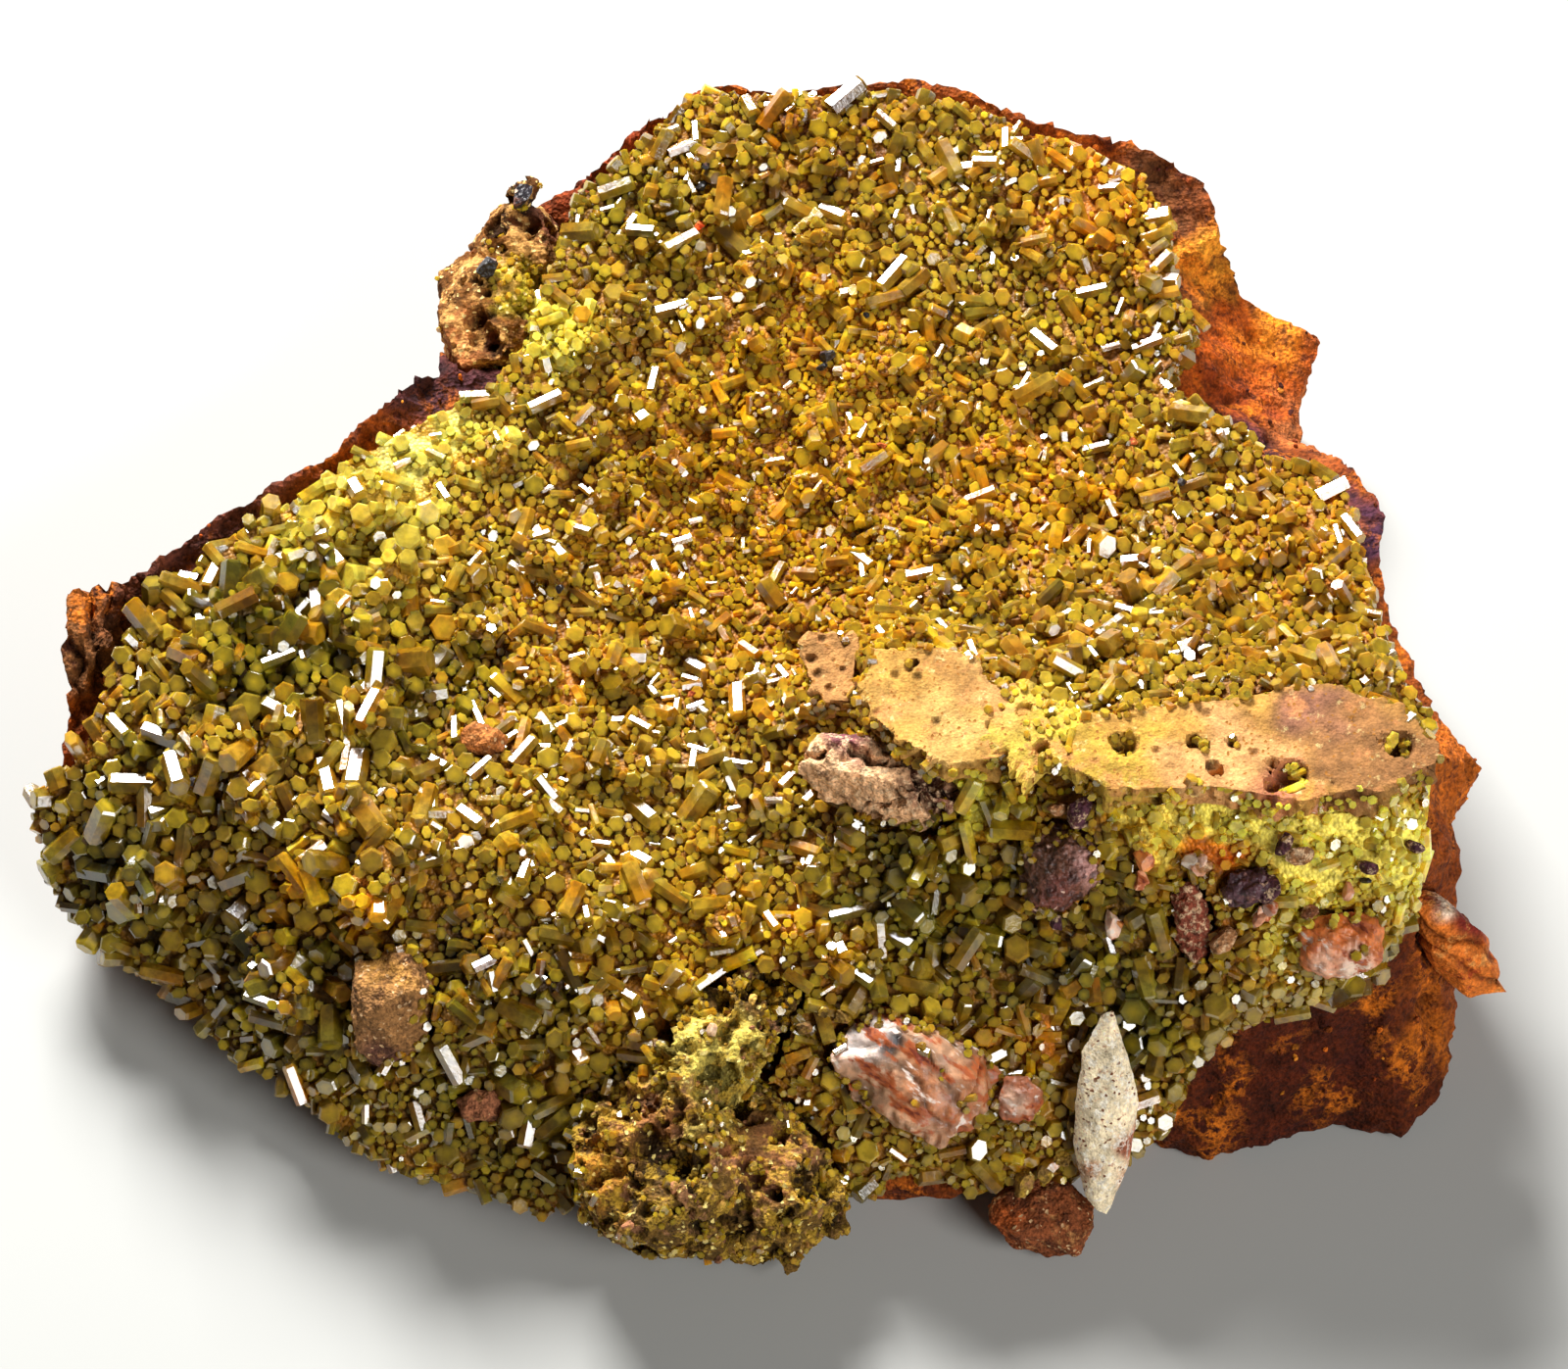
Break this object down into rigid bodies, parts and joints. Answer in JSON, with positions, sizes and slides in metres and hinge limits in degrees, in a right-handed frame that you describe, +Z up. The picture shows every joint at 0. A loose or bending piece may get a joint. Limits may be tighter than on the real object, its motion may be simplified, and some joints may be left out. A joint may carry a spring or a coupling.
{
  "type": "pyromorphite mineral specimen",
  "caption": "Hand specimen: limonite slab lying flat, its upper face coated with a crust of stubby six-sided pyromorphite prisms set with bits of ochre, quartz, goethite and gossan.",
  "frame": {"origin": "middle of the footprint, on the plane of the flat broken underside", "axes": "+X along the long side towards the end with the ochre ledge, +Y towards the narrow end, +Z up out of the crystal crust"},
  "size_m": [0.1124, 0.0958, 0.0331],
  "materials": {
    "limonite": "rough earthy orange-brown iron oxide with dark purple bands along the rim",
    "pyromorphite": "resinous olive to golden prisms with bright flat ends",
    "ochre": "matt, fine-grained baked ochre",
    "gossan": "spongy brown iron oxide full of holes",
    "vuggy_limonite": "tan limonite with holes and black nodules",
    "brown_sandstone": "speckled pinkish-brown grains, matt",
    "goethite": "dark purple-brown, slightly glossy broken faces",
    "stained_quartz": "translucent white to pink quartz with rusty veins",
    "orange_shard": "cream, crimson and orange iron-stained wedge",
    "pale_shard": "pale speckled cream with red-brown stains"
  },
  "bodies": {
    "root": {"limonite_matrix": "limonite", "pyromorphite_crust": "pyromorphite", "ochre_plate_left": "ochre", "ochre_plate_right": "ochre", "ochre_chip": "ochre", "porous_gossan": "gossan", "vuggy_rock": "vuggy_limonite", "brown_flake": "brown_sandstone", "brown_knob": "brown_sandstone", "foot_clast": "brown_sandstone", "small_clast_left": "brown_sandstone", "small_clast_top": "brown_sandstone", "goethite_lump": "goethite", "goethite_chip": "goethite", "red_sliver": "goethite", "quartz_clast_front": "stained_quartz", "quartz_clast_right": "stained_quartz", "quartz_chip": "stained_quartz", "right_shard": "orange_shard", "spindle_shard": "pale_shard"}
  },
  "joints": []
}
